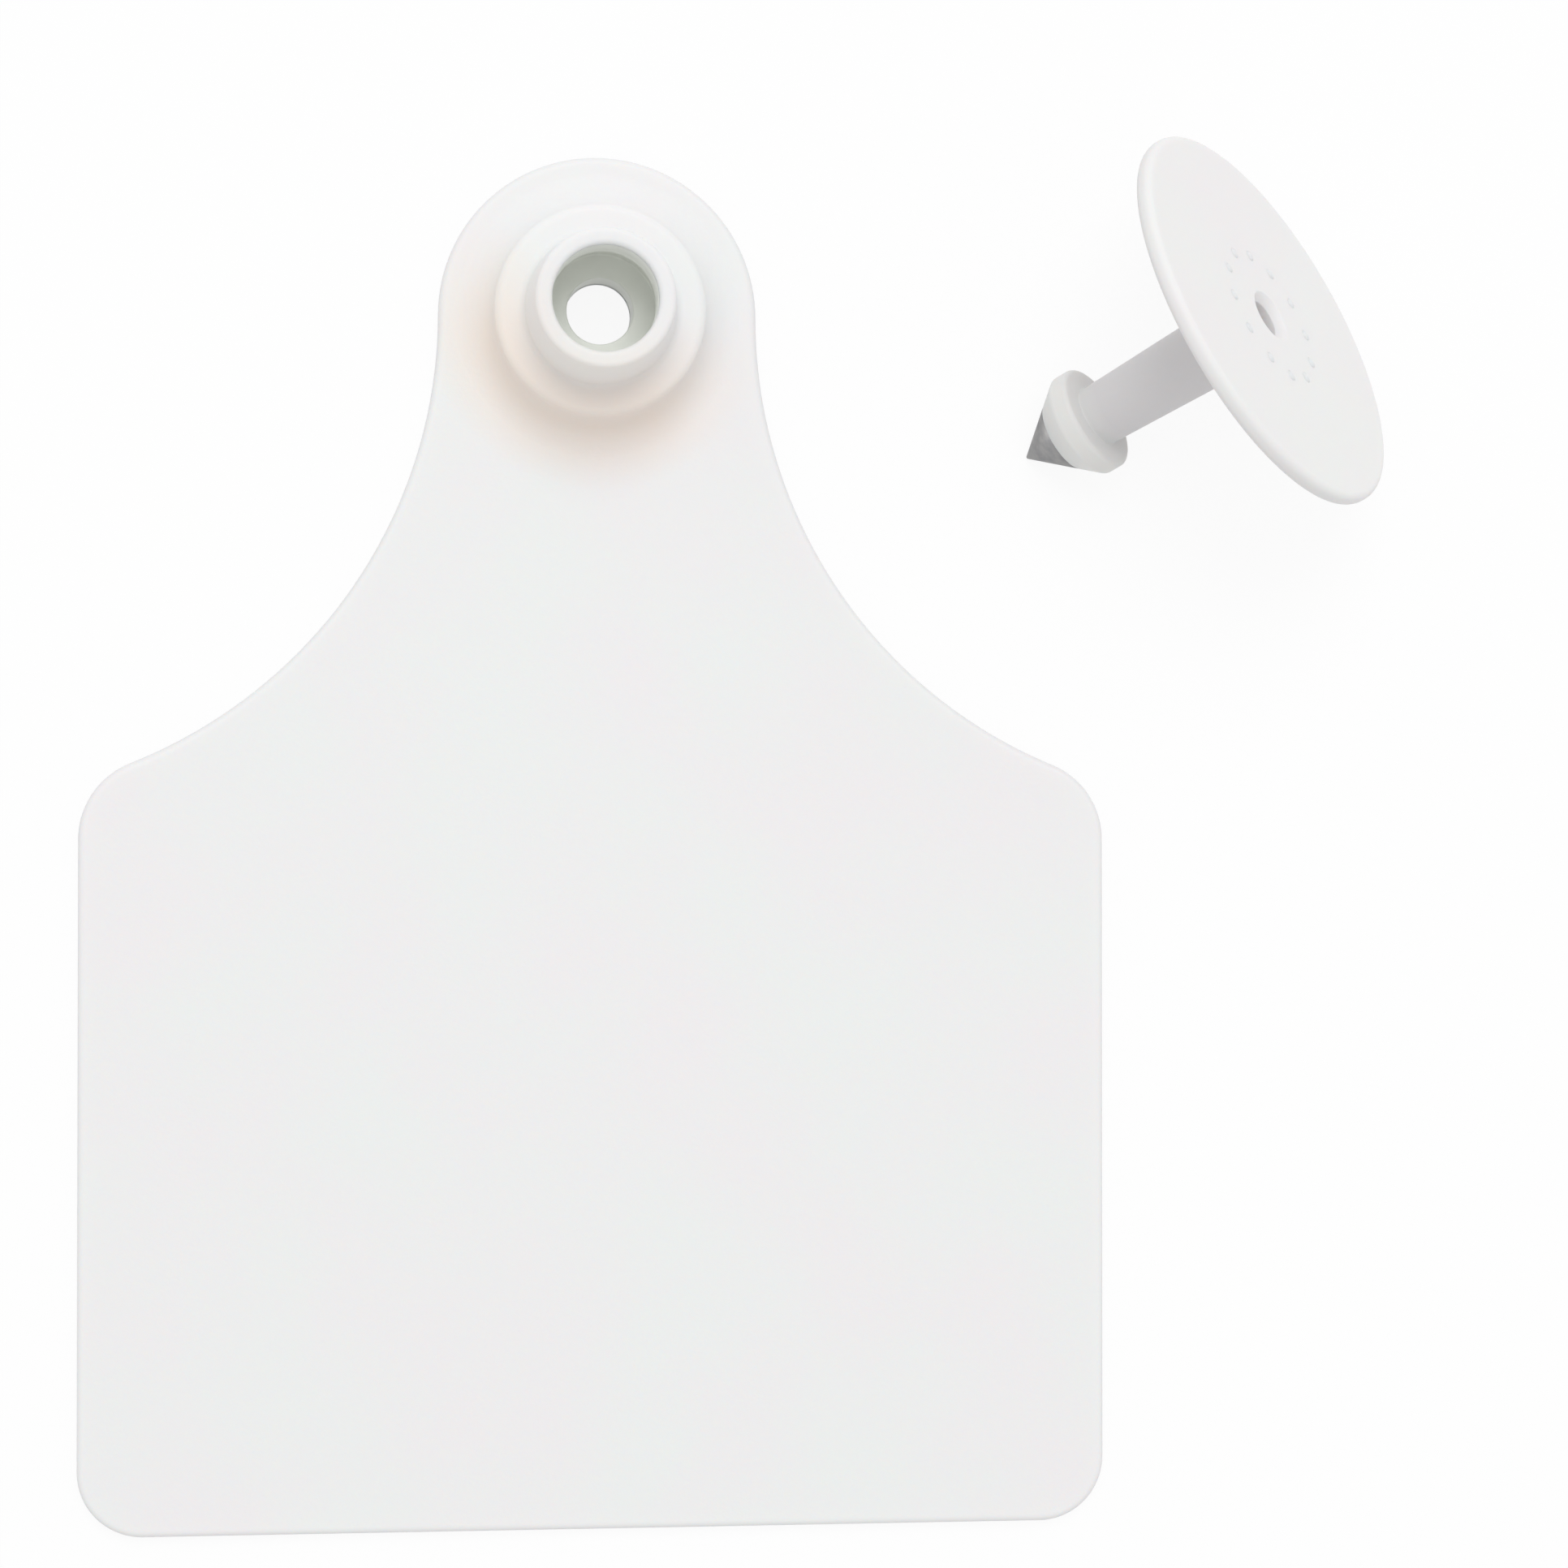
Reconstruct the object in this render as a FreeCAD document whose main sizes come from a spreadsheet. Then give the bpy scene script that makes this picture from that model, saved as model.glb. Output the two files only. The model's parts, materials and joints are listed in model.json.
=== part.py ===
import FreeCAD, Part
import math
import os

import Sketcher

# Two-piece livestock ear tag, in millimetres.
#
# The female half is a flag of soft plastic with a stepped boss on its neck. A hard bush is moulded into
# the boss. Its narrow throat lets the stud's barbed head through once and then holds it on a ledge.
# The male half is a button: a thin disc and a hollow stud in one moulding, with a metal point moulded
# into the stud's head. The applicator's pin goes in from the disc's outer face.
#
# The flag lies flat with its back on Z = 0 and its boss up, and the origin is on the socket's axis at
# the flag's back. The button lies beside it as it comes to rest, on its disc's rim and its collar.

# Every driving dimension: its name in the sheet, its value, and what it measures.
DIMENSIONS = (
    ("panel_width", 76.0, "flag, side to side"),
    ("panel_drop", 89.9, "socket axis to the flag's bottom edge"),
    ("panel_thickness", 1.4, "flag's plate"),
    ("neck_radius", 11.8, "round end of the neck, about the socket axis"),
    ("flare_radius", 35.9, "hollow curve from the neck to the shoulder"),
    ("shoulder_radius", 6.0, "shoulder corners"),
    ("foot_radius", 4.8, "bottom corners"),
    ("edge_break", 0.4, "flag's front and back edges"),
    ("boss_height", 11.5, "flag's back to the boss's rim"),
    ("flange_radius", 7.8, "step round the boss"),
    ("flange_height", 5.3, "flag's back to the top of the step"),
    ("step_break", 0.4, "outer edge of the step"),
    ("skirt_round", 2.7, "hollow blend from the step's wall to the flag"),
    ("tube_foot_radius", 5.6, "drafted tube where it leaves the step"),
    ("tube_top_radius", 5.05, "drafted tube at the rim"),
    ("rim_break", 0.25, "outer and inner edges of the rim"),
    ("mouth_radius", 3.85, "open end of the socket"),
    ("throat_radius", 2.45, "hole that grips behind the stud's head"),
    ("ledge_height", 3.9, "flag's back to the ledge that the head rests on"),
    ("chamber_radius", 4.2, "room for the stud's collar"),
    ("chamber_height", 7.0, "flag's back to the top of the chamber"),
    ("lip_height", 7.5, "flag's back to the top of the lip's slope"),
    ("bush_foot", 0.8, "soft skin under the bush"),
    ("key_radius", 6.8, "bush's retaining flange"),
    ("key_height", 2.2, "flag's back to the top of the retaining flange"),
    ("barrel_radius", 4.9, "bush's outer wall round the chamber"),
    ("liner_radius", 4.35, "bush's outer wall at its top"),
    ("liner_height", 10.9, "flag's back to the bush's top"),
    ("disc_radius", 15.0, "button's disc"),
    ("disc_thickness", 1.3, "button's disc"),
    ("disc_break", 0.4, "both edges of the disc's rim"),
    ("stem_root_radius", 2.75, "stud where it leaves the disc"),
    ("stem_neck_radius", 2.3, "stud behind the collar"),
    ("stem_root_round", 1.2, "blend from the stud to the disc"),
    ("collar_radius", 4.05, "barbed collar of the head"),
    ("collar_back", 15.6, "disc's outer face to the collar's back"),
    ("collar_front", 17.0, "disc's outer face to the collar's front"),
    ("cone_angle", 37.4, "half angle of the head's cone, in degrees"),
    ("point_start", 18.6, "disc's outer face to the metal point"),
    ("point_round", 0.15, "end of the metal point"),
    ("pin_radius", 1.45, "bore for the applicator's pin"),
    ("pin_mouth_radius", 2.0, "countersink of the pin's bore"),
    ("pin_mouth_depth", 0.6, "countersink of the pin's bore"),
    ("shank_start", 15.8, "disc's outer face to the end of the point's shank"),
    ("shank_radius", 1.75, "shank of the metal point"),
    ("waist_radius", 1.2, "waist that locks the shank in the head"),
    ("waist_start", 16.5, "disc's outer face to the waist"),
    ("waist_end", 17.6, "disc's outer face to the waist's far end"),
    ("disc_right", 48.2, "middle of the disc, right of the socket as the button lies"),
    ("disc_down", 0.8, "middle of the disc, nearer the flag's foot than the socket"),
    ("stud_heading", 210.6, "way that the lying stud points, in degrees from the X axis"),
)

CLEARANCE = 1.0       # how far a cutting section runs past the surface that it breaks through
TOLERANCE = 1e-6
RIGHT_ANGLE = 90.0
FULL_TURN = 360.0

# A sketch's own names for its origin and axes, and for the points of a side.
ORIGIN = -1
HORIZONTAL_AXIS = -1
VERTICAL_AXIS = -2
START, END, CENTRE = 1, 2, 3

# Sizes that follow from the driving ones, as expressions on the sheet.
AXIS = "0"
APEX = "(dims.collar_front + dims.collar_radius / tan(dims.cone_angle))"
POINT_BASE_RADIUS = "(%s - dims.point_start) * tan(dims.cone_angle)" % APEX
POINT_CENTRE = "%s - dims.point_round / sin(dims.cone_angle)" % APEX

# Outer corners of the bush, from the outside of its foot to the inside of its top. The boss's cavity
# has the same ones.
BUSH_OUTSIDE = (
    ("dims.key_radius", "dims.bush_foot"),
    ("dims.key_radius", "dims.key_height"),
    ("dims.barrel_radius", "dims.key_height"),
    ("dims.barrel_radius", "dims.chamber_height"),
    ("dims.liner_radius", "dims.liner_height"),
    ("dims.mouth_radius", "dims.liner_height"),
)

# Outer corners of the metal point's shank, from its end up to the waist's far end. Its seat in the
# stud's head has the same ones.
SHANK_OUTSIDE = (
    ("dims.shank_radius", "dims.shank_start"),
    ("dims.shank_radius", "dims.waist_start"),
    ("dims.waist_radius", "dims.waist_start"),
    ("dims.waist_radius", "dims.waist_end"),
    ("dims.shank_radius", "dims.waist_end"),
)


def add_sheet(document):
    """Keep the driving dimensions in one spreadsheet, each with its alias."""
    sheet = document.addObject("Spreadsheet::Sheet", "dims")
    for row, (name, value, meaning) in enumerate(DIMENSIONS, start=1):
        sheet.set("A%d" % row, meaning)
        sheet.set("B%d" % row, str(value))
        sheet.setAlias("B%d" % row, name)
    document.recompute()
    return sheet


def add_body(document, name):
    """A sub-part: its label is its file's name."""
    body = document.addObject("PartDesign::Body", name)
    body.Label = name
    return body


def add_sketch(body, name, role):
    """An empty sketch on one of the body's own origin planes."""
    plane = next(part for part in body.Origin.OriginFeatures if part.Role == role)
    sketch = body.newObject("Sketcher::SketchObject", name)
    sketch.AttachmentSupport = [(plane, "")]
    sketch.MapMode = "FlatFace"
    return sketch


def evaluate(document, expression):
    """The number that an expression on the sheet gives."""
    value = document.dims.evalExpression(str(expression))
    return float(getattr(value, "Value", value))


def draw_half_section(body, name, corners, nose_centre=None):
    """Draw a closed half section beside the Z axis, with every corner bound to the sheet.

    Corners are (radius, height) expressions. With nose_centre, the side that ends at the last corner
    is an arc about the point of the axis at that height."""
    document = body.Document
    sketch = add_sketch(body, name, "XZ_Plane")
    points = [FreeCAD.Vector(evaluate(document, radius), evaluate(document, height), 0)
              for radius, height in corners]
    count = len(points)
    nose = count - 2 if nose_centre else None
    for side, start in enumerate(points):
        end = points[(side + 1) % count]
        if side == nose:
            sketch.addGeometry(arc_about_axis(start, end, evaluate(document, nose_centre)))
        else:
            sketch.addGeometry(Part.LineSegment(start, end))
    for side, (radius, height) in enumerate(corners):
        following = (side + 1) % count
        sketch.addConstraint(Sketcher.Constraint("Coincident", side, END, following, START))
        bind_point(sketch, side, START, radius, height)
    if nose_centre:
        sketch.addConstraint(Sketcher.Constraint("PointOnObject", nose, CENTRE, VERTICAL_AXIS))
    check_sketch(sketch)
    return sketch


def arc_about_axis(start, end, height):
    """An anticlockwise arc from start to end, centred on the axis."""
    centre = FreeCAD.Vector(0, height, 0)
    circle = Part.Circle(centre, FreeCAD.Vector(0, 0, 1), start.distanceToPoint(centre))
    first, last = (math.atan2(point.y - height, point.x) for point in (start, end))
    return Part.ArcOfCircle(circle, first, last)


def bind_point(sketch, side, end, across, along):
    """Hold one point of a sketch at the place that two expressions give."""
    for kind, expression in (("DistanceX", across), ("DistanceY", along)):
        value = evaluate(sketch.Document, expression)
        constraint = Sketcher.Constraint(kind, ORIGIN, START, side, end, value)
        index = sketch.addConstraint(constraint)
        sketch.setExpression("Constraints[%d]" % index, expression)


def bind_radius(sketch, side, expression):
    """Give an arc of a sketch the radius that the sheet gives."""
    constraint = Sketcher.Constraint("Radius", side, evaluate(sketch.Document, expression))
    index = sketch.addConstraint(constraint)
    sketch.setExpression("Constraints[%d]" % index, expression)


def check_sketch(sketch):
    """A sketch has to solve, and nothing in it may be left loose."""
    sketch.Document.recompute()
    if sketch.solve() != 0 or not sketch.FullyConstrained:
        raise RuntimeError("%s is not fully held" % sketch.Name)


def turn(body, kind, name, sketch):
    """Turn a half section about the body's Z axis, to add it or to cut it away."""
    before = body.Tip.Shape.Volume if body.Tip else 0.0
    feature = body.newObject(kind, name)
    feature.Profile = sketch
    feature.ReferenceAxis = (sketch, ["V_Axis"])
    feature.Angle = FULL_TURN
    body.Document.recompute()
    gain = feature.Shape.Volume - before
    if (kind == "PartDesign::Groove") == (gain > -TOLERANCE):
        raise RuntimeError("%s changes the volume by %.3f" % (name, gain))
    return feature


def is_ring(edge, radius, height):
    """True for a full circle about the Z axis of this radius, at this height."""
    if not isinstance(edge.Curve, Part.Circle):
        return False
    centre = edge.Curve.Center
    off_axis = math.hypot(centre.x, centre.y)
    return max(off_axis, abs(centre.z - height), abs(edge.Curve.Radius - radius)) < TOLERANCE


def is_level(edge, heights):
    """True for an edge that lies wholly at one of these heights."""
    box = edge.BoundBox
    flat = box.ZLength < TOLERANCE
    return flat and any(abs(box.ZMin - height) < TOLERANCE for height in heights)


def dress_edges(body, kind, name, size, wanted):
    """Fillet or chamfer the edges of the body's last feature that are wanted."""
    base = body.Tip
    names = ["Edge%d" % number for number, edge in enumerate(base.Shape.Edges, start=1) if wanted(edge)]
    if not names:
        raise RuntimeError("%s finds no edge" % name)
    feature = body.newObject("PartDesign::" + kind, name)
    feature.Base = (base, names)
    feature.setExpression("Radius" if kind == "Fillet" else "Size", size)
    body.Document.recompute()
    return feature


def dress_ring(body, kind, name, size, ring_radius, ring_height):
    """Fillet or chamfer the ring edge that two expressions name."""
    document = body.Document
    across, along = evaluate(document, ring_radius), evaluate(document, ring_height)
    return dress_edges(body, kind, name, size, lambda edge: is_ring(edge, across, along))


def draw_flag_outline(body):
    """The flag's outline: straight sides and foot, and arcs that run into each other and into them."""
    document = body.Document
    size = {name: evaluate(document, "dims." + name) for name, _, _ in DIMENSIONS}
    half_width = size["panel_width"] / 2
    neck, flare = size["neck_radius"], size["flare_radius"]
    shoulder, foot = size["shoulder_radius"], size["foot_radius"]
    flare_across = neck + flare
    shoulder_across = half_width - shoulder
    shoulder_drop = math.sqrt((flare + shoulder) ** 2 - (flare_across - shoulder_across) ** 2)
    flare_end = math.atan2(shoulder_drop, flare_across - shoulder_across)
    foot_drop = size["panel_drop"] - foot
    foot_across = half_width - foot
    quarter = math.pi / 2

    sketch = add_sketch(body, "FlagOutline", "XY_Plane")

    def arc(across, drop, radius, first, last):
        circle = Part.Circle(FreeCAD.Vector(across, -drop, 0), FreeCAD.Vector(0, 0, 1), radius)
        return sketch.addGeometry(Part.ArcOfCircle(circle, first, last))

    def line(*places):
        ends = [FreeCAD.Vector(across, -drop, 0) for across, drop in places]
        return sketch.addGeometry(Part.LineSegment(*ends))

    neck_arc = arc(0, 0, neck, 0, math.pi)
    left_flare = arc(-flare_across, 0, flare, -flare_end, 0)
    left_shoulder = arc(-shoulder_across, shoulder_drop, shoulder, math.pi - flare_end, math.pi)
    left_side = line((-half_width, shoulder_drop), (-half_width, foot_drop))
    left_foot = arc(-foot_across, foot_drop, foot, math.pi, math.pi + quarter)
    bottom = line((-foot_across, size["panel_drop"]), (foot_across, size["panel_drop"]))
    right_foot = arc(foot_across, foot_drop, foot, -quarter, 0)
    right_side = line((half_width, foot_drop), (half_width, shoulder_drop))
    right_shoulder = arc(shoulder_across, shoulder_drop, shoulder, 0, flare_end)
    right_flare = arc(flare_across, 0, flare, math.pi, math.pi + flare_end)

    # Anticlockwise round the flag. The flares are hollow, so they are passed from end to start.
    tour = ((neck_arc, START, END), (left_flare, END, START), (left_shoulder, START, END),
            (left_side, START, END), (left_foot, START, END), (bottom, START, END),
            (right_foot, START, END), (right_side, START, END), (right_shoulder, START, END),
            (right_flare, END, START))
    for (side, _, leaving), (following, entering, _) in zip(tour, tour[1:] + tour[:1]):
        sketch.addConstraint(Sketcher.Constraint("Tangent", side, leaving, following, entering))
    sketch.addConstraint(Sketcher.Constraint("Coincident", neck_arc, CENTRE, ORIGIN, START))
    for flare_arc in (left_flare, right_flare):
        sketch.addConstraint(Sketcher.Constraint("PointOnObject", flare_arc, CENTRE, HORIZONTAL_AXIS))
    for pair in ((left_flare, right_flare), (left_shoulder, right_shoulder), (left_foot, right_foot)):
        sketch.addConstraint(Sketcher.Constraint("Equal", *pair))
    sketch.addConstraint(Sketcher.Constraint("Vertical", left_side))
    sketch.addConstraint(Sketcher.Constraint("Vertical", right_side))
    sketch.addConstraint(Sketcher.Constraint("Symmetric", bottom, START, bottom, END, VERTICAL_AXIS))
    bind_radius(sketch, neck_arc, "dims.neck_radius")
    bind_radius(sketch, left_flare, "dims.flare_radius")
    bind_radius(sketch, left_shoulder, "dims.shoulder_radius")
    bind_radius(sketch, left_foot, "dims.foot_radius")
    bind_point(sketch, bottom, START, "dims.foot_radius - dims.panel_width / 2", "-dims.panel_drop")
    check_sketch(sketch)
    return sketch


def make_tag_panel(document):
    """The soft half: a flat flag with the stepped boss that holds the bush."""
    body = add_body(document, "tag_panel")
    flag = body.newObject("PartDesign::Pad", "Flag")
    flag.Profile = draw_flag_outline(body)
    flag.setExpression("Length", "dims.panel_thickness")
    document.recompute()
    faces = (0, evaluate(document, "dims.panel_thickness"))
    dress_edges(body, "Chamfer", "FlagEdges", "dims.edge_break", lambda edge: is_level(edge, faces))

    boss = draw_half_section(body, "BossSection", (
        (AXIS, "dims.panel_thickness / 2"),
        ("dims.flange_radius", "dims.panel_thickness / 2"),
        ("dims.flange_radius", "dims.flange_height"),
        ("dims.tube_foot_radius", "dims.flange_height"),
        ("dims.tube_top_radius", "dims.boss_height"),
        (AXIS, "dims.boss_height"),
    ))
    turn(body, "PartDesign::Revolution", "Boss", boss)
    step = ("dims.flange_radius", "dims.flange_height")
    dress_ring(body, "Fillet", "Skirt", "dims.skirt_round", "dims.flange_radius", "dims.panel_thickness")
    dress_ring(body, "Chamfer", "StepEdge", "dims.step_break", *step)

    socket = draw_half_section(body, "SocketSection", (
        (AXIS, "-%s" % CLEARANCE),
        ("dims.throat_radius", "-%s" % CLEARANCE),
        ("dims.throat_radius", "dims.bush_foot"),
        *BUSH_OUTSIDE,
        ("dims.mouth_radius", "dims.boss_height + %s" % CLEARANCE),
        (AXIS, "dims.boss_height + %s" % CLEARANCE),
    ))
    turn(body, "PartDesign::Groove", "Socket", socket)
    for name, radius in (("RimOuterEdge", "dims.tube_top_radius"), ("RimInnerEdge", "dims.mouth_radius")):
        dress_ring(body, "Chamfer", name, "dims.rim_break", radius, "dims.boss_height")
    return body


def make_locking_bush(document):
    """The hard insert: a throat, a ledge and a chamber for the stud's head, keyed into the boss."""
    body = add_body(document, "locking_bush")
    section = draw_half_section(body, "BushSection", (
        ("dims.throat_radius", "dims.bush_foot"),
        *BUSH_OUTSIDE,
        ("dims.mouth_radius", "dims.lip_height"),
        ("dims.chamber_radius", "dims.chamber_height"),
        ("dims.chamber_radius", "dims.ledge_height"),
        ("dims.throat_radius", "dims.ledge_height"),
    ))
    turn(body, "PartDesign::Revolution", "Bush", section)
    return body


def make_stud_button(document):
    """The male half: disc, tapered hollow stud and barbed head, with the seat of the metal point."""
    body = add_body(document, "stud_button")
    section = draw_half_section(body, "ButtonSection", (
        (AXIS, "0"),
        ("dims.disc_radius", "0"),
        ("dims.disc_radius", "dims.disc_thickness"),
        ("dims.stem_root_radius", "dims.disc_thickness"),
        ("dims.stem_neck_radius", "dims.collar_back"),
        ("dims.collar_radius", "dims.collar_back"),
        ("dims.collar_radius", "dims.collar_front"),
        (POINT_BASE_RADIUS, "dims.point_start"),
        (AXIS, "dims.point_start"),
    ))
    turn(body, "PartDesign::Revolution", "Button", section)
    root = ("dims.stem_root_radius", "dims.disc_thickness")
    dress_ring(body, "Fillet", "StemRoot", "dims.stem_root_round", *root)
    for name, height in (("RimOutside", "0"), ("RimInside", "dims.disc_thickness")):
        dress_ring(body, "Chamfer", name, "dims.disc_break", "dims.disc_radius", height)

    bore = draw_half_section(body, "PinBoreSection", (
        (AXIS, "-%s" % CLEARANCE),
        ("dims.pin_mouth_radius", "-%s" % CLEARANCE),
        ("dims.pin_mouth_radius", "0"),
        ("dims.pin_radius", "dims.pin_mouth_depth"),
        ("dims.pin_radius", "dims.shank_start"),
        *SHANK_OUTSIDE,
        ("dims.shank_radius", "dims.point_start + %s" % CLEARANCE),
        (AXIS, "dims.point_start + %s" % CLEARANCE),
    ))
    turn(body, "PartDesign::Groove", "PinBore", bore)
    return body


def make_piercing_point(document):
    """The metal point: a cone in line with the head's, on a waisted shank that closes the pin's bore."""
    body = add_body(document, "piercing_point")
    tangent_radius = "dims.point_round * cos(dims.cone_angle)"
    tangent_height = "%s + dims.point_round * sin(dims.cone_angle)" % POINT_CENTRE
    section = draw_half_section(body, "PointSection", (
        (AXIS, "dims.shank_start"),
        *SHANK_OUTSIDE,
        ("dims.shank_radius", "dims.point_start"),
        (POINT_BASE_RADIUS, "dims.point_start"),
        (tangent_radius, tangent_height),
        (AXIS, "%s + dims.point_round" % POINT_CENTRE),
    ), nose_centre=POINT_CENTRE)
    turn(body, "PartDesign::Revolution", "Point", section)
    return body


def resting_place(document):
    """Where the button lies: its disc's rim and its collar's front edge both touch the floor."""
    size = {name: evaluate(document, "dims." + name) for name, _, _ in DIMENSIONS}
    rim_along = size["disc_thickness"] - size["disc_break"]
    lean = math.atan2(size["disc_radius"] - size["collar_radius"], size["collar_front"] - rim_along)
    lift = size["collar_radius"] * math.cos(lean) + size["collar_front"] * math.sin(lean)
    turned = FreeCAD.Rotation(size["stud_heading"], RIGHT_ANGLE + math.degrees(lean), 0)
    return FreeCAD.Placement(FreeCAD.Vector(size["disc_right"], -size["disc_down"], lift), turned)


def check_document(document):
    """Nothing in the document may have failed without saying so."""
    for item in document.Objects:
        if "Invalid" in item.State or "Error" in item.State:
            raise RuntimeError("%s failed: %s" % (item.Name, item.State))


def check_body(body):
    """Each sub-part is one sound solid."""
    shape = body.Shape
    if shape.isNull() or not shape.isValid() or len(shape.Solids) != 1:
        raise RuntimeError("%s is not one sound solid" % body.Label)


def main():
    document = FreeCAD.newDocument("livestock_ear_tag")
    add_sheet(document)
    flag_half = [make_tag_panel(document), make_locking_bush(document)]
    button_half = [make_stud_button(document), make_piercing_point(document)]
    for body in button_half:
        body.Placement = resting_place(document)
    document.recompute()
    check_document(document)
    bodies = flag_half + button_half
    for body in bodies:
        check_body(body)
    os.makedirs("parts", exist_ok=True)
    for body in bodies:
        body.Shape.exportStep("parts/%s.step" % body.Label)
        print("%-16s %9.2f mm3" % (body.Label, body.Shape.Volume))


main()
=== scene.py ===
import json
import math

import bmesh
import bpy
from mathutils import Matrix, Vector


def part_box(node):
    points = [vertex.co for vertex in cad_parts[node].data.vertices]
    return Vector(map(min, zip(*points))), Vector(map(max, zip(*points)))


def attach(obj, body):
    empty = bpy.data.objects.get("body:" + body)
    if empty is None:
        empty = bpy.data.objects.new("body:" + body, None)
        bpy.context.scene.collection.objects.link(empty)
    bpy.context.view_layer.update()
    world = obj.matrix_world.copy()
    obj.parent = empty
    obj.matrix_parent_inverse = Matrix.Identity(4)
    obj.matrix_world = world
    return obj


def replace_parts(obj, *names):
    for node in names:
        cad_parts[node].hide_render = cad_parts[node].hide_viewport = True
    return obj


# Looks of a two-piece livestock ear tag: the soft flag with its boss, the hard bush in the boss, the
# button with its barbed stud, and the metal point. Lengths are in metres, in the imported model's frame.

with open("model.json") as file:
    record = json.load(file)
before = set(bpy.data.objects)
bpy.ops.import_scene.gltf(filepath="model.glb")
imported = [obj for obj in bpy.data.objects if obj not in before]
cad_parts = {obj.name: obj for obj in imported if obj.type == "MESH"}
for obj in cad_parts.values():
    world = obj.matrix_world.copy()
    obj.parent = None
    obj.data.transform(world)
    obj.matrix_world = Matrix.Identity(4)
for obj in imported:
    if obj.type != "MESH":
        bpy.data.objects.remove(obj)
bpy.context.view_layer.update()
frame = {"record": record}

MM = 0.001
BODY = "root"

# Driving sizes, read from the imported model.
FLAG_LOW, FLAG_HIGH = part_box("tag_panel")
BUSH_LOW, BUSH_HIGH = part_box("locking_bush")
MOUNTS = {mount["name"]: mount for mount in frame["record"]["mounts"]}
HALF_WIDTH = FLAG_HIGH.x
NECK_RADIUS = FLAG_HIGH.y
FLAG_DROP = -FLAG_LOW.y
BOSS_HEIGHT = FLAG_HIGH.z
THROAT_RADIUS = MOUNTS["stud_socket"]["dims"]["r_mm"] * MM
LEDGE_HEIGHT = MOUNTS["stud_socket"]["dims"]["length_mm"] * MM
FLAG_THICKNESS = MOUNTS["panel_front"]["pos_m"][2]
PIN_RADIUS = MOUNTS["applicator_pin_bore"]["dims"]["r_mm"] * MM
PIN_DEPTH = MOUNTS["applicator_pin_bore"]["dims"]["length_mm"] * MM

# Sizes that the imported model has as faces, repeated here.
FLARE_RADIUS = 35.9 * MM
SHOULDER_RADIUS = 6.0 * MM
FOOT_RADIUS = 4.8 * MM
STEP_RADIUS = 7.8 * MM
STEP_HEIGHT = 5.3 * MM
SKIRT_ROUND = 2.7 * MM
TUBE_FOOT_RADIUS = 5.6 * MM
TUBE_TOP_RADIUS = 5.05 * MM
MOUTH_RADIUS = 3.85 * MM
CHAMBER_RADIUS = 4.2 * MM
CHAMBER_HEIGHT = 7.0 * MM
LIP_HEIGHT = 7.5 * MM
KEY_HEIGHT = 2.2 * MM
BARREL_RADIUS = 4.9 * MM
LINER_RADIUS = 4.35 * MM
DISC_RADIUS = 15.0 * MM
DISC_THICKNESS = 1.3 * MM
PIN_MOUTH_RADIUS = 2.0 * MM
PIN_MOUTH_DEPTH = 0.6 * MM
STEM_ROOT_RADIUS = 2.75 * MM
STEM_NECK_RADIUS = 2.3 * MM
STEM_ROOT_ROUND = 1.2 * MM
COLLAR_RADIUS = 4.05 * MM
COLLAR_BACK = 15.6 * MM
COLLAR_FRONT = 17.0 * MM
CONE_ANGLE = math.radians(37.4)
POINT_START = 18.6 * MM
SHANK_RADIUS = 1.75 * MM
WAIST_RADIUS = 1.2 * MM
WAIST_START = 16.5 * MM
WAIST_END = 17.6 * MM
KEY_RADIUS = BUSH_HIGH.x
BUSH_FOOT = BUSH_LOW.z
LINER_HEIGHT = BUSH_HIGH.z

# The fine rounding that soft moulding leaves on each edge.
FLAG_ROUND = 0.5 * MM
STEP_ROUND = 0.6 * MM
TUBE_FOOT_ROUND = 0.5 * MM
RIM_ROUND = 0.38 * MM
DISC_ROUND = 0.55 * MM
COLLAR_ROUND = 0.45 * MM
BARB_ROUND = 0.35 * MM
FINE_ROUND = 0.12 * MM
POINT_ROUND = 0.15 * MM

PIP_RADIUS = 0.42 * MM
PIP_HEIGHT = 0.13 * MM
PIP_SINK = 0.1 * MM
PIP_CIRCLE = 5.2 * MM
PIP_COUNT = 12
PIP_SIDES = 32

ROUND_STEPS = 7            # facets across a rounded edge
LATHE_SIDES = 192
SUPPORT = 0.06 * MM        # how far a support ring stands from a rounded edge


def plane(across, along):
    return Vector((across, along))


def rounded_path(corners):
    """A path through (radius, height, rounding) corners, each one replaced by its arc."""
    path = []
    for index, (across, along, rounding) in enumerate(corners):
        here = plane(across, along)
        if rounding <= 0 or index in (0, len(corners) - 1):
            path.append(here)
            continue
        to_last = (plane(*corners[index - 1][:2]) - here).normalized()
        to_next = (plane(*corners[index + 1][:2]) - here).normalized()
        path += arc_between(here, to_last, to_next, rounding)
    return path


def arc_between(corner, to_last, to_next, rounding):
    """The points of the arc that rounds a corner, with a support point before and after it."""
    half = to_last.angle(to_next) / 2
    reach = rounding / math.tan(half)
    centre = corner + (to_last + to_next).normalized() * (rounding / math.sin(half))
    first, last = corner + to_last * reach - centre, corner + to_next * reach - centre
    start = math.atan2(first.y, first.x)
    sweep = math.atan2(first.x * last.y - first.y * last.x, first.dot(last))
    arc = [corner + to_last * (reach + SUPPORT)]
    for step in range(ROUND_STEPS + 1):
        angle = start + sweep * step / ROUND_STEPS
        arc.append(centre + plane(math.cos(angle), math.sin(angle)) * rounding)
    arc.append(corner + to_next * (reach + SUPPORT))
    return arc


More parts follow.
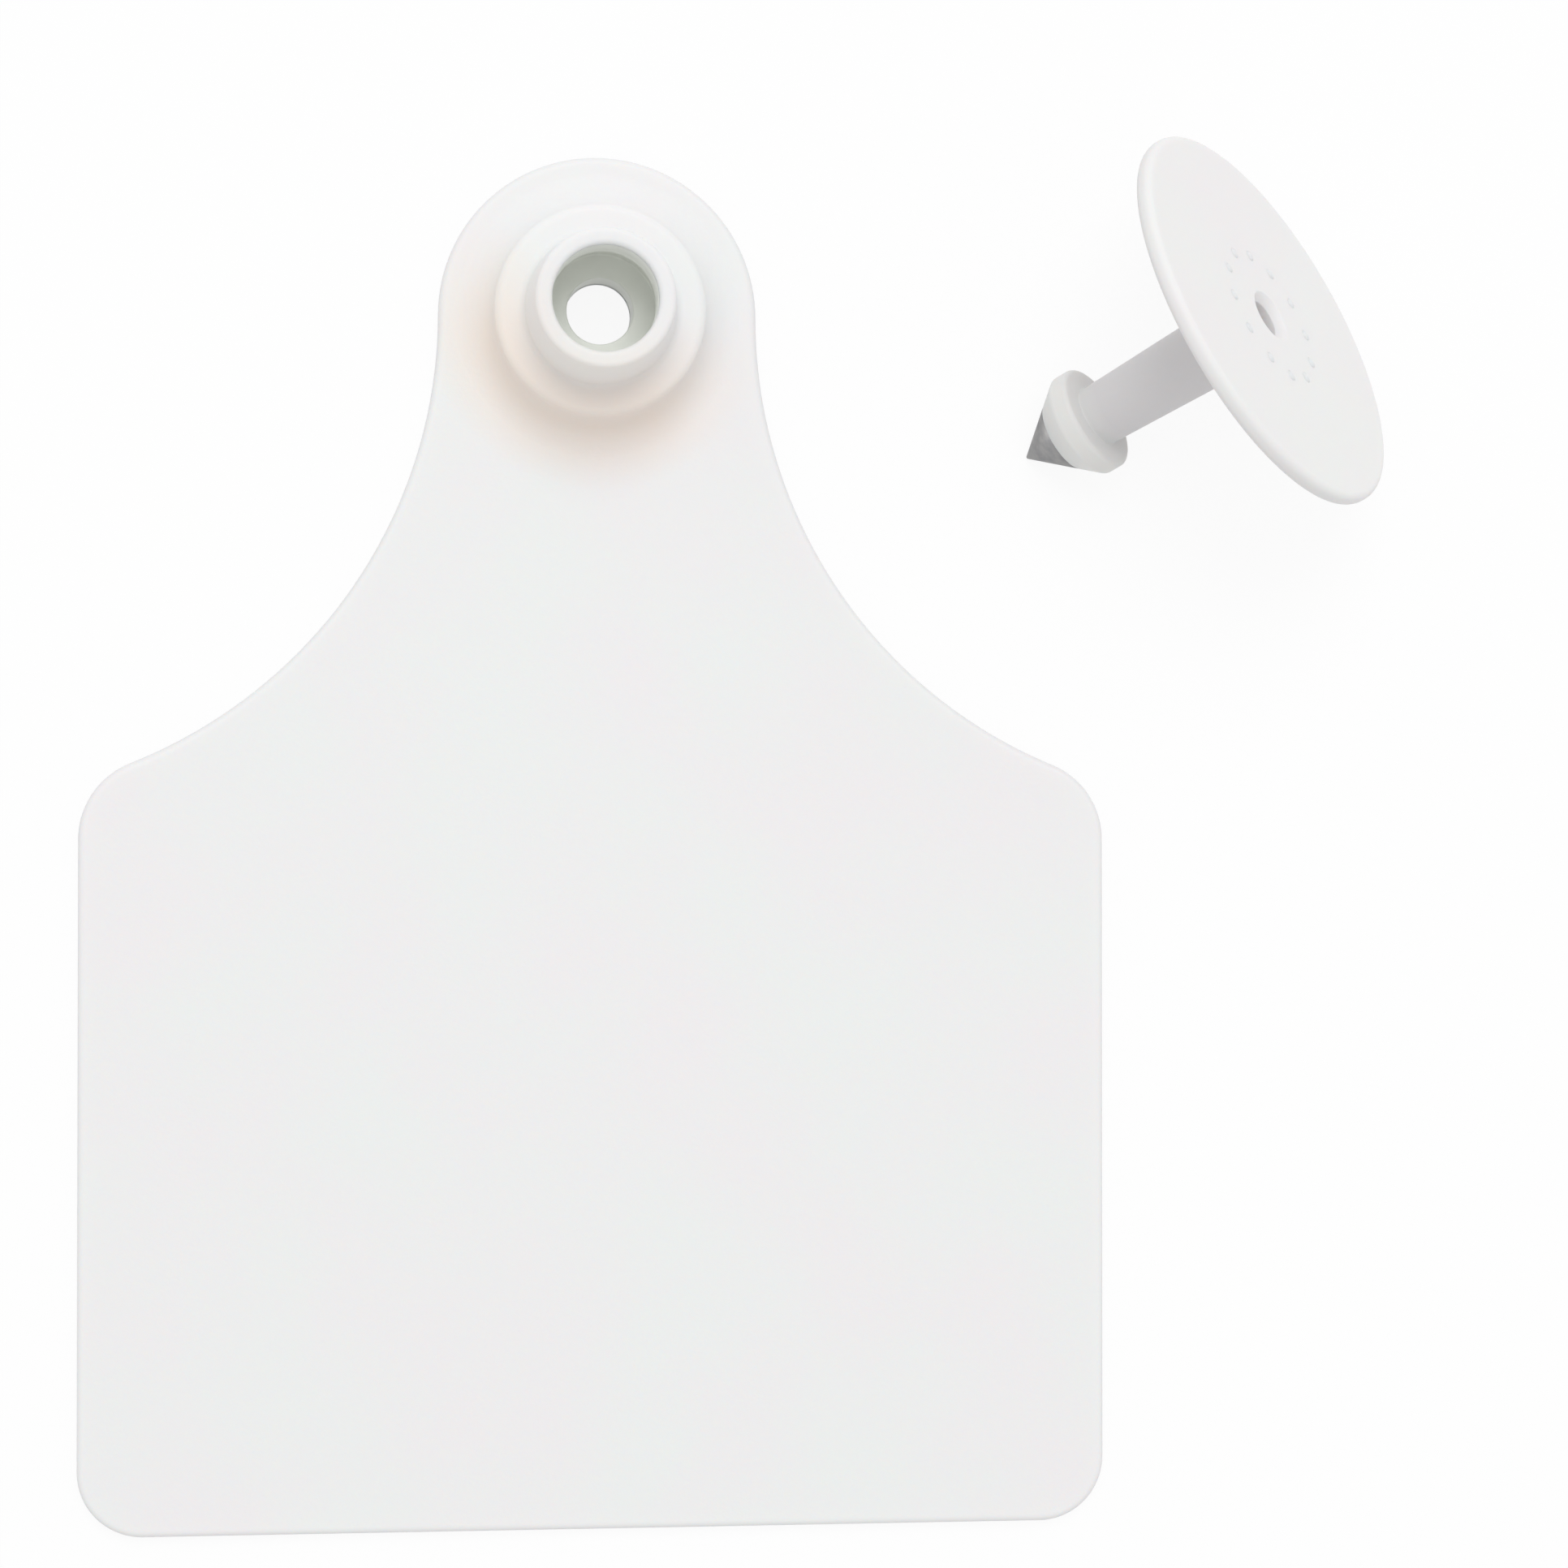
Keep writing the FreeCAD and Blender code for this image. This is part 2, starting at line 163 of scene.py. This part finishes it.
def add_ring(mesh, radius, height, sides=LATHE_SIDES):
    """A ring of vertices about the Z axis, or the single vertex where the radius is nothing."""
    if radius < 1e-9:
        return [mesh.verts.new((0, 0, height))]
    turns = [2 * math.pi * side / sides for side in range(sides)]
    return [mesh.verts.new((radius * math.cos(turn), radius * math.sin(turn), height)) for turn in turns]


def bridge(mesh, first, second):
    """Join two rings with quads, or a ring to a single vertex with triangles."""
    count = max(len(first), len(second))
    for side in range(count):
        after = (side + 1) % count
        corners = [first[side % len(first)], first[after % len(first)],
                   second[after % len(second)], second[side % len(second)]]
        kept = [corner for place, corner in enumerate(corners) if corner not in corners[:place]]
        mesh.faces.new(kept)


def finish_mesh(mesh, name, finish, place=Matrix.Identity(4)):
    """Turn a bmesh into a smooth piece of the object, with its finish."""
    bmesh.ops.recalc_face_normals(mesh, faces=mesh.faces)
    data = bpy.data.meshes.new(name)
    mesh.to_mesh(data)
    mesh.free()
    data.transform(place)
    data.shade_smooth()
    piece = bpy.data.objects.new(name, data)
    bpy.context.scene.collection.objects.link(piece)
    data.materials.append(finish)
    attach(piece, BODY)
    return piece


def turned_piece(name, corners, finish, place=Matrix.Identity(4), closed=False):
    """A piece of revolution about its own Z axis, from the corners of its half section."""
    mesh = bmesh.new()
    rings = [add_ring(mesh, point.x, point.y) for point in rounded_path(corners)]
    for first, second in zip(rings, rings[1:]):
        bridge(mesh, first, second)
    if closed:
        bridge(mesh, rings[-1], rings[0])
    return finish_mesh(mesh, name, finish, place)


def arc_samples(centre, radius, first, last, hollow=False):
    """Points along an outline's arc, each with the direction that points out of the flag."""
    widest = 2 * math.acos(1 - CHORD_ERROR / radius)
    steps = math.ceil(abs(last - first) / widest)
    samples = []
    for step in range(steps + 1):
        angle = first + (last - first) * step / steps
        radial = plane(math.cos(angle), math.sin(angle))
        samples.append((centre + radial * radius, -radial if hollow else radial))
    return samples


def flag_outline():
    """The flag's outline, anticlockwise from the right of the neck, without its doubled points."""
    flare_across = NECK_RADIUS + FLARE_RADIUS
    shoulder_across = HALF_WIDTH - SHOULDER_RADIUS
    shoulder_drop = math.sqrt((FLARE_RADIUS + SHOULDER_RADIUS) ** 2 - (flare_across - shoulder_across) ** 2)
    turn = math.atan2(shoulder_drop, flare_across - shoulder_across)
    foot = plane(HALF_WIDTH - FOOT_RADIUS, FOOT_RADIUS - FLAG_DROP)
    straight, quarter = math.pi, math.pi / 2
    arcs = (
        arc_samples(plane(0, 0), NECK_RADIUS, 0, straight),
        arc_samples(plane(-flare_across, 0), FLARE_RADIUS, 0, -turn, hollow=True),
        arc_samples(plane(-shoulder_across, -shoulder_drop), SHOULDER_RADIUS, straight - turn, straight),
        arc_samples(plane(-foot.x, foot.y), FOOT_RADIUS, straight, straight + quarter),
        arc_samples(foot, FOOT_RADIUS, -quarter, 0),
        arc_samples(plane(shoulder_across, -shoulder_drop), SHOULDER_RADIUS, 0, turn),
        arc_samples(plane(flare_across, 0), FLARE_RADIUS, straight + turn, straight, hollow=True),
    )
    outline = []
    for point, outward in (sample for arc in arcs for sample in arc):
        if not outline or (point - outline[-1][0]).length > CHORD_ERROR:
            outline.append((point, outward))
    if (outline[0][0] - outline[-1][0]).length < CHORD_ERROR:
        outline.pop()
    return outline


def fill_face(mesh, outer, inner):
    """Fill the flat face between the flag's outline and a ring inside it."""
    edges = []
    for loop in (outer, inner):
        for corner, after in zip(loop, loop[1:] + loop[:1]):
            edges.append(mesh.edges.get((corner, after)) or mesh.edges.new((corner, after)))
    bmesh.ops.triangle_fill(mesh, edges=edges, use_beauty=True)


def make_flag(finish):
    """The soft half in one closed mesh: plate, skirt, step, tube, and the seat of the bush."""
    mesh = bmesh.new()
    outline = flag_outline()
    face_inset = FLAG_ROUND + 2 * SUPPORT
    edge_path = rounded_path(((face_inset, FLAG_THICKNESS, 0), (0, FLAG_THICKNESS, FLAG_ROUND),
                              (0, 0, FLAG_ROUND), (face_inset, 0, 0)))
    edge_rings = []
    for inset, height in edge_path:
        ring = [mesh.verts.new((*(point - outward * inset), height)) for point, outward in outline]
        edge_rings.append(ring)
    boss_path = rounded_path((
        (STEP_RADIUS + SKIRT_ROUND + 2 * SUPPORT, FLAG_THICKNESS, 0),
        (STEP_RADIUS, FLAG_THICKNESS, SKIRT_ROUND),
        (STEP_RADIUS, STEP_HEIGHT, STEP_ROUND),
        (TUBE_FOOT_RADIUS, STEP_HEIGHT, TUBE_FOOT_ROUND),
        (TUBE_TOP_RADIUS, BOSS_HEIGHT, RIM_ROUND),
        (MOUTH_RADIUS, BOSS_HEIGHT, RIM_ROUND),
        (MOUTH_RADIUS, LINER_HEIGHT, 0),
        (LINER_RADIUS, LINER_HEIGHT, 0),
        (BARREL_RADIUS, CHAMBER_HEIGHT, 0),
        (BARREL_RADIUS, KEY_HEIGHT, 0),
        (KEY_RADIUS, KEY_HEIGHT, 0),
        (KEY_RADIUS, BUSH_FOOT, 0),
        (THROAT_RADIUS, BUSH_FOOT, 0),
        (THROAT_RADIUS, 0, FINE_ROUND),
        (THROAT_RADIUS + FINE_ROUND + 2 * SUPPORT, 0, 0),
    ))
    boss_rings = [add_ring(mesh, point.x, point.y) for point in boss_path]
    for rings in (edge_rings, boss_rings):
        for first, second in zip(rings, rings[1:]):
            bridge(mesh, first, second)
    fill_face(mesh, edge_rings[0], boss_rings[0])
    fill_face(mesh, edge_rings[-1], boss_rings[-1])
    flag = finish_mesh(mesh, "flag_moulding", finish)
    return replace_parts(flag, "tag_panel")


def make_bush(finish):
    """The hard insert, from its foot round its hidden outside and down its bore."""
    corners = (
        (THROAT_RADIUS, BUSH_FOOT, 0),
        (KEY_RADIUS, BUSH_FOOT, 0),
        (KEY_RADIUS, KEY_HEIGHT, 0),
        (BARREL_RADIUS, KEY_HEIGHT, 0),
        (BARREL_RADIUS, CHAMBER_HEIGHT, 0),
        (LINER_RADIUS, LINER_HEIGHT, 0),
        (MOUTH_RADIUS, LINER_HEIGHT, 0),
        (MOUTH_RADIUS, LIP_HEIGHT, FINE_ROUND),
        (CHAMBER_RADIUS, CHAMBER_HEIGHT, FINE_ROUND),
        (CHAMBER_RADIUS, LEDGE_HEIGHT, FINE_ROUND),
        (THROAT_RADIUS, LEDGE_HEIGHT, FINE_ROUND),
        (THROAT_RADIUS, BUSH_FOOT + SUPPORT, 0),
    )
    bush = turned_piece("bush_insert", corners, finish, closed=True)
    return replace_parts(bush, "locking_bush")


def button_place():
    """The button's own frame: its origin on the disc's outer face and Z along the stud."""
    mount = MOUNTS["applicator_pin_bore"]
    outward = Vector(mount["axis"]).normalized()
    origin = Vector(mount["pos_m"]) + outward * PIN_MOUTH_DEPTH
    level = Vector((0, 0, 1)).cross(outward).normalized()
    turned = Matrix((level, level.cross(outward), -outward)).transposed()
    return Matrix.Translation(origin) @ turned.to_4x4()


def make_button(finish):
    """Disc, stem and barbed head in one moulding, bored for the pin and for the point's shank."""
    corners = (
        (SHANK_RADIUS, POINT_START, 0),
        (POINT_BASE_RADIUS, POINT_START, 0),
        (COLLAR_RADIUS, COLLAR_FRONT, COLLAR_ROUND),
        (COLLAR_RADIUS, COLLAR_BACK, BARB_ROUND),
        (STEM_NECK_RADIUS, COLLAR_BACK, FINE_ROUND),
        (STEM_ROOT_RADIUS, DISC_THICKNESS, STEM_ROOT_ROUND),
        (DISC_RADIUS, DISC_THICKNESS, DISC_ROUND),
        (DISC_RADIUS, 0, DISC_ROUND),
        (PIN_MOUTH_RADIUS, 0, FINE_ROUND),
        (PIN_RADIUS, PIN_MOUTH_DEPTH, FINE_ROUND),
        (PIN_RADIUS, SHANK_START, 0),
        (SHANK_RADIUS, SHANK_START, 0),
        (SHANK_RADIUS, WAIST_START, 0),
        (WAIST_RADIUS, WAIST_START, 0),
        (WAIST_RADIUS, WAIST_END, 0),
        (SHANK_RADIUS, WAIST_END, 0),
    )
    button = turned_piece("button_moulding", corners, finish, BUTTON_PLACE, closed=True)
    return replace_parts(button, "stud_button")


def make_pips(finish):
    """A ring of low plain pips moulded round the pin's hole, sunk a little into the disc's face."""
    dome = (PIP_RADIUS ** 2 + PIP_HEIGHT ** 2) / (2 * PIP_HEIGHT)
    widest = math.asin(PIP_RADIUS / dome)
    path = [plane(0, PIP_SINK), plane(PIP_RADIUS, PIP_SINK)]
    for step in range(ROUND_STEPS + 1):
        angle = widest * (1 - step / ROUND_STEPS)
        path.append(plane(dome * math.sin(angle), dome - PIP_HEIGHT - dome * math.cos(angle)))
    mesh = bmesh.new()
    for pip in range(PIP_COUNT):
        rings = [add_ring(mesh, point.x, point.y, PIP_SIDES) for point in path]
        for first, second in zip(rings, rings[1:]):
            bridge(mesh, first, second)
        turn = Matrix.Rotation(2 * math.pi * pip / PIP_COUNT, 4, "Z")
        shift = turn @ Matrix.Translation((PIP_CIRCLE, 0, 0))
        bmesh.ops.transform(mesh, matrix=shift, verts=[corner for ring in rings for corner in ring])
    finish_mesh(mesh, "disc_pips", finish, BUTTON_PLACE)


def make_point(finish):
    """The metal point: waisted shank, seat, cone and a slightly blunted end."""
    centre = APEX - POINT_ROUND / math.sin(CONE_ANGLE)
    corners = [
        (0, SHANK_START, 0),
        (SHANK_RADIUS, SHANK_START, FINE_ROUND),
        (SHANK_RADIUS, WAIST_START, 0),
        (WAIST_RADIUS, WAIST_START, 0),
        (WAIST_RADIUS, WAIST_END, 0),
        (SHANK_RADIUS, WAIST_END, 0),
        (SHANK_RADIUS, POINT_START, 0),
        (POINT_BASE_RADIUS, POINT_START, 0),
    ]
    for step in range(ROUND_STEPS + 1):
        angle = CONE_ANGLE + (math.pi / 2 - CONE_ANGLE) * step / ROUND_STEPS
        corners.append((POINT_ROUND * math.cos(angle), centre + POINT_ROUND * math.sin(angle), 0))
    point = turned_piece("metal_point", corners, finish, BUTTON_PLACE)
    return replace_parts(point, "piercing_point")


# ---------------------------------------------------------------------------------------- shader maths

class Value:
    """A number that varies over a surface. Arithmetic on it adds Math nodes to its finish."""

    def __init__(self, finish, socket):
        self.finish = finish
        self.socket = socket

    def math(self, operation, *others):
        inputs = dict(enumerate((self,) + others))
        return self.finish.add("ShaderNodeMath", {"operation": operation}, inputs)["Value"]

    def __add__(self, other):
        return self.math("ADD", other)

    def __sub__(self, other):
        return self.math("SUBTRACT", other)

    def __mul__(self, other):
        return self.math("MULTIPLY", other)

    def __truediv__(self, other):
        return self.math("DIVIDE", other)

    def __rsub__(self, other):
        return self * -1 + other

    __radd__ = __add__
    __rmul__ = __mul__

    def between(self, low, high):
        """0 at low and 1 at high, in a straight line, and held outside."""
        return ((self - low) / (high - low)).math("MAXIMUM", 0.0).math("MINIMUM", 1.0)


class Outputs:
    """A node's outputs, each as a Value."""

    def __init__(self, finish, node):
        self.finish = finish
        self.node = node

    def __getitem__(self, name):
        return Value(self.finish, self.node.outputs[name])


MIX_FACTOR, MIX_FIRST, MIX_SECOND, MIX_RESULT = 0, 6, 7, 2      # a Mix node's colour sockets


class Nodes:
    """The nodes of a material or of the world."""

    def __init__(self, holder):
        holder.use_nodes = True
        self.tree = holder.node_tree
        self.tree.nodes.clear()

    def add(self, kind, settings, inputs):
        """Add a node: its type, then its settings, then the values or links of its sockets."""
        node = self.tree.nodes.new(kind)
        for name, setting in settings.items():
            setattr(node, name, setting)
        for name, value in inputs.items():
            self.feed(node.inputs[name], value)
        return Outputs(self, node)

    def feed(self, socket, value):
        if isinstance(value, Value):
            self.tree.links.new(value.socket, socket)
        elif socket.type == "RGBA":
            socket.default_value = (*value, 1.0)
        else:
            socket.default_value = value

    def camera_sees(self):
        """1 for what the camera or a mirror sees, and 0 for what lights the object."""
        path = self.add("ShaderNodeLightPath", {}, {})
        mirrored = path["Is Glossy Ray"].math("MAXIMUM", path["Is Transmission Ray"])
        return path["Is Camera Ray"].math("MAXIMUM", mirrored)


class Finish(Nodes):
    """A material: nodes round one Principled shader."""

    def __init__(self, name, constants):
        self.material = bpy.data.materials.new(name)
        super().__init__(self.material)
        self.shader = self.add("ShaderNodeBsdfPrincipled", {}, constants)
        self.output = self.add("ShaderNodeOutputMaterial", {}, {"Surface": self.shader["BSDF"]})

    def drive(self, varying):
        """Give the shader's own sockets what varies over the surface."""
        for name, value in varying.items():
            self.feed(self.shader.node.inputs[name], value)

    def painted(self):
        """The colour that the shader has so far, to paint over."""
        return Value(self, self.shader.node.inputs["Base Color"].links[0].from_socket)

    def place(self):
        """Where a point of the surface is, in metres in the object's frame."""
        return self.add("ShaderNodeTexCoord", {}, {})["Object"]

    def noise(self, where, size, detail=2.0):
        """Soft noise about 0.5, with features of about this size."""
        inputs = {"Vector": where, "Scale": 1 / size, "Detail": detail}
        return self.add("ShaderNodeTexNoise", {}, inputs)["Fac"]

    def blend(self, share, first, second):
        """One colour running into another."""
        inputs = {MIX_FACTOR: share, MIX_FIRST: first, MIX_SECOND: second}
        return self.add("ShaderNodeMix", {"data_type": "RGBA"}, inputs)[MIX_RESULT]

    def bump(self, height, depth, under=None):
        """Raise the surface by height times depth, over any bump under it."""
        inputs = {"Height": height, "Distance": depth}
        if under is not None:
            inputs["Normal"] = under
        return self.add("ShaderNodeBump", {}, inputs)["Normal"]


def shade(*levels):
    """A colour from its display levels, 0 to 255, as the linear numbers that a shader takes."""
    return tuple(((level / 255 + 0.055) / 1.055) ** 2.4 for level in levels)


# -------------------------------------------------------------------------------------------- finishes

def soft_plastic(name, colours, constants):
    """White polyurethane: matt and faintly clouded, with a fine moulded grain over slow ripples."""
    finish = Finish(name, {
        "Subsurface Weight": 0.25,
        "Subsurface Radius": (1.0, 0.72, 0.55),
        "Subsurface Scale": 1.2 * MM,
        "IOR": 1.5,
        "Specular IOR Level": 0.35,
        **constants,
    })
    where = finish.place()
    cloud = finish.noise(where, 14 * MM, 3.0)
    grain = finish.noise(where, 0.32 * MM, 2.0)
    ripple = finish.noise(where, 5 * MM, 1.0)
    relief = finish.bump(ripple, 0.02 * MM)
    finish.drive({
        "Base Color": finish.blend(cloud.between(0.35, 0.65), *colours),
        "Roughness": 0.46 + grain * 0.14,
        "Normal": finish.bump(grain, 0.012 * MM, relief),
    })
    return finish


def flag_plastic():
    """The flag's plastic, with painted shade: beige on the boss's foot side, turned from the light, and
    greyer round the cut of its edge.
    """
    finish = soft_plastic("flag_polyurethane", (shade(238, 240, 239), shade(240, 238, 239)), {})
    where = finish.place()
    parts = finish.add("ShaderNodeSeparateXYZ", {}, {"Vector": where})
    across, along, height = parts["X"], parts["Y"], parts["Z"]
    off_axis = (across * across + along * along).math("SQRT")
    # Painted shade: a beige tint on the boss and its skirt, strongest on the foot side, which is turned
    # from the light.
    shaded_foot_side = ((along * -0.9 - across * 0.4) / off_axis).between(-0.35, 0.6)
    skirt = 1 - off_axis.between(STEP_RADIUS + 0.6 * MM, STEP_RADIUS + 5.2 * MM)
    boss = skirt * off_axis.between(THROAT_RADIUS, STEP_RADIUS + 0.6 * MM)
    painted_warm_shade = finish.blend(shaded_foot_side * boss * 0.9, finish.painted(), shade(242, 229, 218))
    # Painted shade: a greyer band round the flag's rounded edge, below its front face.
    below_front = 1 - height.between(0.9 * MM, FLAG_THICKNESS - 0.01 * MM)
    edge = below_front * height.between(0, 0.05 * MM)
    finish.drive({"Base Color": finish.blend(edge * 0.8, painted_warm_shade, shade(222, 223, 225))})
    return finish.material


def button_plastic():
    """The button's plastic: white on the disc's outer face, with painted shade greying the stud and its
    head.
    """
    finish = soft_plastic("button_polyurethane", (shade(238, 239, 238), shade(239, 237, 238)), {})
    outward = Vector(MOUNTS["applicator_pin_bore"]["axis"]).normalized()
    start = BUTTON_PLACE.to_translation()
    from_face = finish.add("ShaderNodeVectorMath", {"operation": "SUBTRACT"}, {0: finish.place(), 1: start})
    depth = finish.add("ShaderNodeVectorMath", {"operation": "DOT_PRODUCT"},
                       {0: from_face["Vector"], 1: -outward})["Value"]
    # Painted shade down the stud: greyer along the stem, which lies in the disc's shadow, a little less
    # grey on the head.
    stud = depth.between(0.1 * MM, DISC_THICKNESS + 1.0 * MM)
    head = depth.between(COLLAR_BACK - 1.5 * MM, COLLAR_BACK + 0.5 * MM)
    painted_stud_shade = finish.blend(head, shade(218, 216, 217), shade(229, 229, 227))
    finish.drive({"Base Color": finish.blend(stud, finish.painted(), painted_stud_shade)})
    return finish.material


def hard_plastic(name):
    """Grey-green nylon, smooth and slightly glossy, with faint turned marks down the bore."""
    finish = Finish(name, {"IOR": 1.53, "Specular IOR Level": 0.5})
    where = finish.place()
    cloud = finish.noise(where, 1.6 * MM, 3.0)
    rings = finish.add("ShaderNodeSeparateXYZ", {}, {"Vector": where})["Z"] * (1 / (0.22 * MM))
    lines = finish.noise(finish.add("ShaderNodeCombineXYZ", {}, {"Z": rings})["Vector"], 1.0, 1.0)
    finish.drive({
        "Base Color": finish.blend(cloud, shade(236, 238, 232), shade(242, 244, 239)),
        "Roughness": 0.3 + cloud * 0.12,
        "Normal": finish.bump(lines, 0.006 * MM),
    })
    return finish.material


def dull_metal(name):
    """Dark sintered metal, a little rough, in small lighter and darker patches."""
    finish = Finish(name, {"Metallic": 0.75, "Specular IOR Level": 0.4})
    where = finish.place()
    patch = finish.noise(where, 0.9 * MM, 4.0)
    grit = finish.noise(where, 0.08 * MM, 2.0)
    finish.drive({
        "Base Color": finish.blend(patch.between(0.3, 0.7), shade(140, 140, 142), shade(163, 162, 161)),
        "Roughness": 0.34 + patch * 0.2,
        "Normal": finish.bump(grit, 0.008 * MM),
    })
    return finish.material


# ------------------------------------------------------------------------------- floor, light and camera

def make_floor():
    """A plain white floor that shows the object's shadow faintly."""
    finish = Finish("floor_white", {"Base Color": FLOOR_COLOUR, "Roughness": 1.0})
    glow = finish.add("ShaderNodeEmission", {}, {"Color": (1, 1, 1), "Strength": 1.0})
    share = finish.camera_sees() * FLOOR_GLOW
    mixed = finish.add("ShaderNodeMixShader", {}, {0: share, 1: finish.shader["BSDF"], 2: glow["Emission"]})
    finish.feed(finish.output.node.inputs["Surface"], mixed["Shader"])
    mesh = bmesh.new()
    bmesh.ops.create_grid(mesh, x_segments=1, y_segments=1, size=FLOOR_SIZE)
    data = bpy.data.meshes.new("floor")
    mesh.to_mesh(data)
    mesh.free()
    floor = bpy.data.objects.new("floor", data)
    floor.location = (0, 0, -FLOOR_GAP)
    data.materials.append(finish.material)
    bpy.context.scene.collection.objects.link(floor)


def make_world():
    """Even light from all round, seen as plain white."""
    world = bpy.data.worlds.new("studio")
    bpy.context.scene.world = world
    nodes = Nodes(world)
    strength = nodes.camera_sees() * (1 - AMBIENT) + AMBIENT
    sky = nodes.add("ShaderNodeBackground", {}, {"Color": (1, 1, 1), "Strength": strength})
    nodes.add("ShaderNodeOutputWorld", {}, {"Surface": sky["Background"]})


def aim(item, place, target):
    """Point a lamp or camera at a target, with the flag's neck upwards in its view."""
    behind = (place - target).normalized()
    right = Vector((0, 1, 0)).cross(behind).normalized()
    turned = Matrix((right, behind.cross(right), behind)).transposed()
    item.matrix_world = Matrix.Translation(place) @ turned.to_4x4()


def add_lamp(name, place, target, size, power):
    light = bpy.data.lights.new(name, "AREA")
    light.shape = "DISK"
    light.size = size
    light.energy = power
    lamp = bpy.data.objects.new(name, light)
    bpy.context.scene.collection.objects.link(lamp)
    aim(lamp, place, target)


def add_camera():
    """Looking down on the lying tag from a little left of its neck."""
    camera = bpy.data.cameras.new("camera")
    place = CAMERA_FOOT + Vector((0, 0, CAMERA_HEIGHT))
    camera.sensor_width = SENSOR
    camera.lens = SENSOR * (place - VIEW_CENTRE).length / VIEW_WIDTH
    camera.clip_start = 0.01
    view = bpy.data.objects.new("camera", camera)
    bpy.context.scene.collection.objects.link(view)
    bpy.context.scene.camera = view
    aim(view, place, VIEW_CENTRE)


POINT_BASE_RADIUS = COLLAR_RADIUS - (POINT_START - COLLAR_FRONT) * math.tan(CONE_ANGLE)
APEX = COLLAR_FRONT + COLLAR_RADIUS / math.tan(CONE_ANGLE)
SHANK_START = PIN_MOUTH_DEPTH + PIN_DEPTH
BUTTON_PLACE = button_place()
CHORD_ERROR = 0.004 * MM

FLOOR_SIZE = 3.0
FLOOR_GAP = 0.05 * MM
FLOOR_COLOUR = (0.93, 0.93, 0.93)
FLOOR_GLOW = 0.9
AMBIENT = 0.73
KEY_PLACE = Vector((0.03, 0.6, 1.2))
KEY_SIZE = 0.8
KEY_POWER = 5.8

SENSOR = 36.0
CAMERA_HEIGHT = 290 * MM
VIEW_WIDTH = 116.8 * MM
VIEW_CENTRE = Vector((13.9 * MM, -34.75 * MM, FLAG_THICKNESS))
CAMERA_FOOT = Vector((-17.5 * MM, -38.5 * MM, FLAG_THICKNESS))

add_camera()
make_world()
add_lamp("key", KEY_PLACE, VIEW_CENTRE, KEY_SIZE, KEY_POWER)
make_floor()
make_flag(flag_plastic())
make_bush(hard_plastic("hard_nylon"))
button_finish = button_plastic()
make_button(button_finish)
make_pips(button_finish)
make_point(dull_metal("dull_metal"))

bpy.context.scene.view_settings.view_transform = "Standard"
bpy.context.view_layer.update()
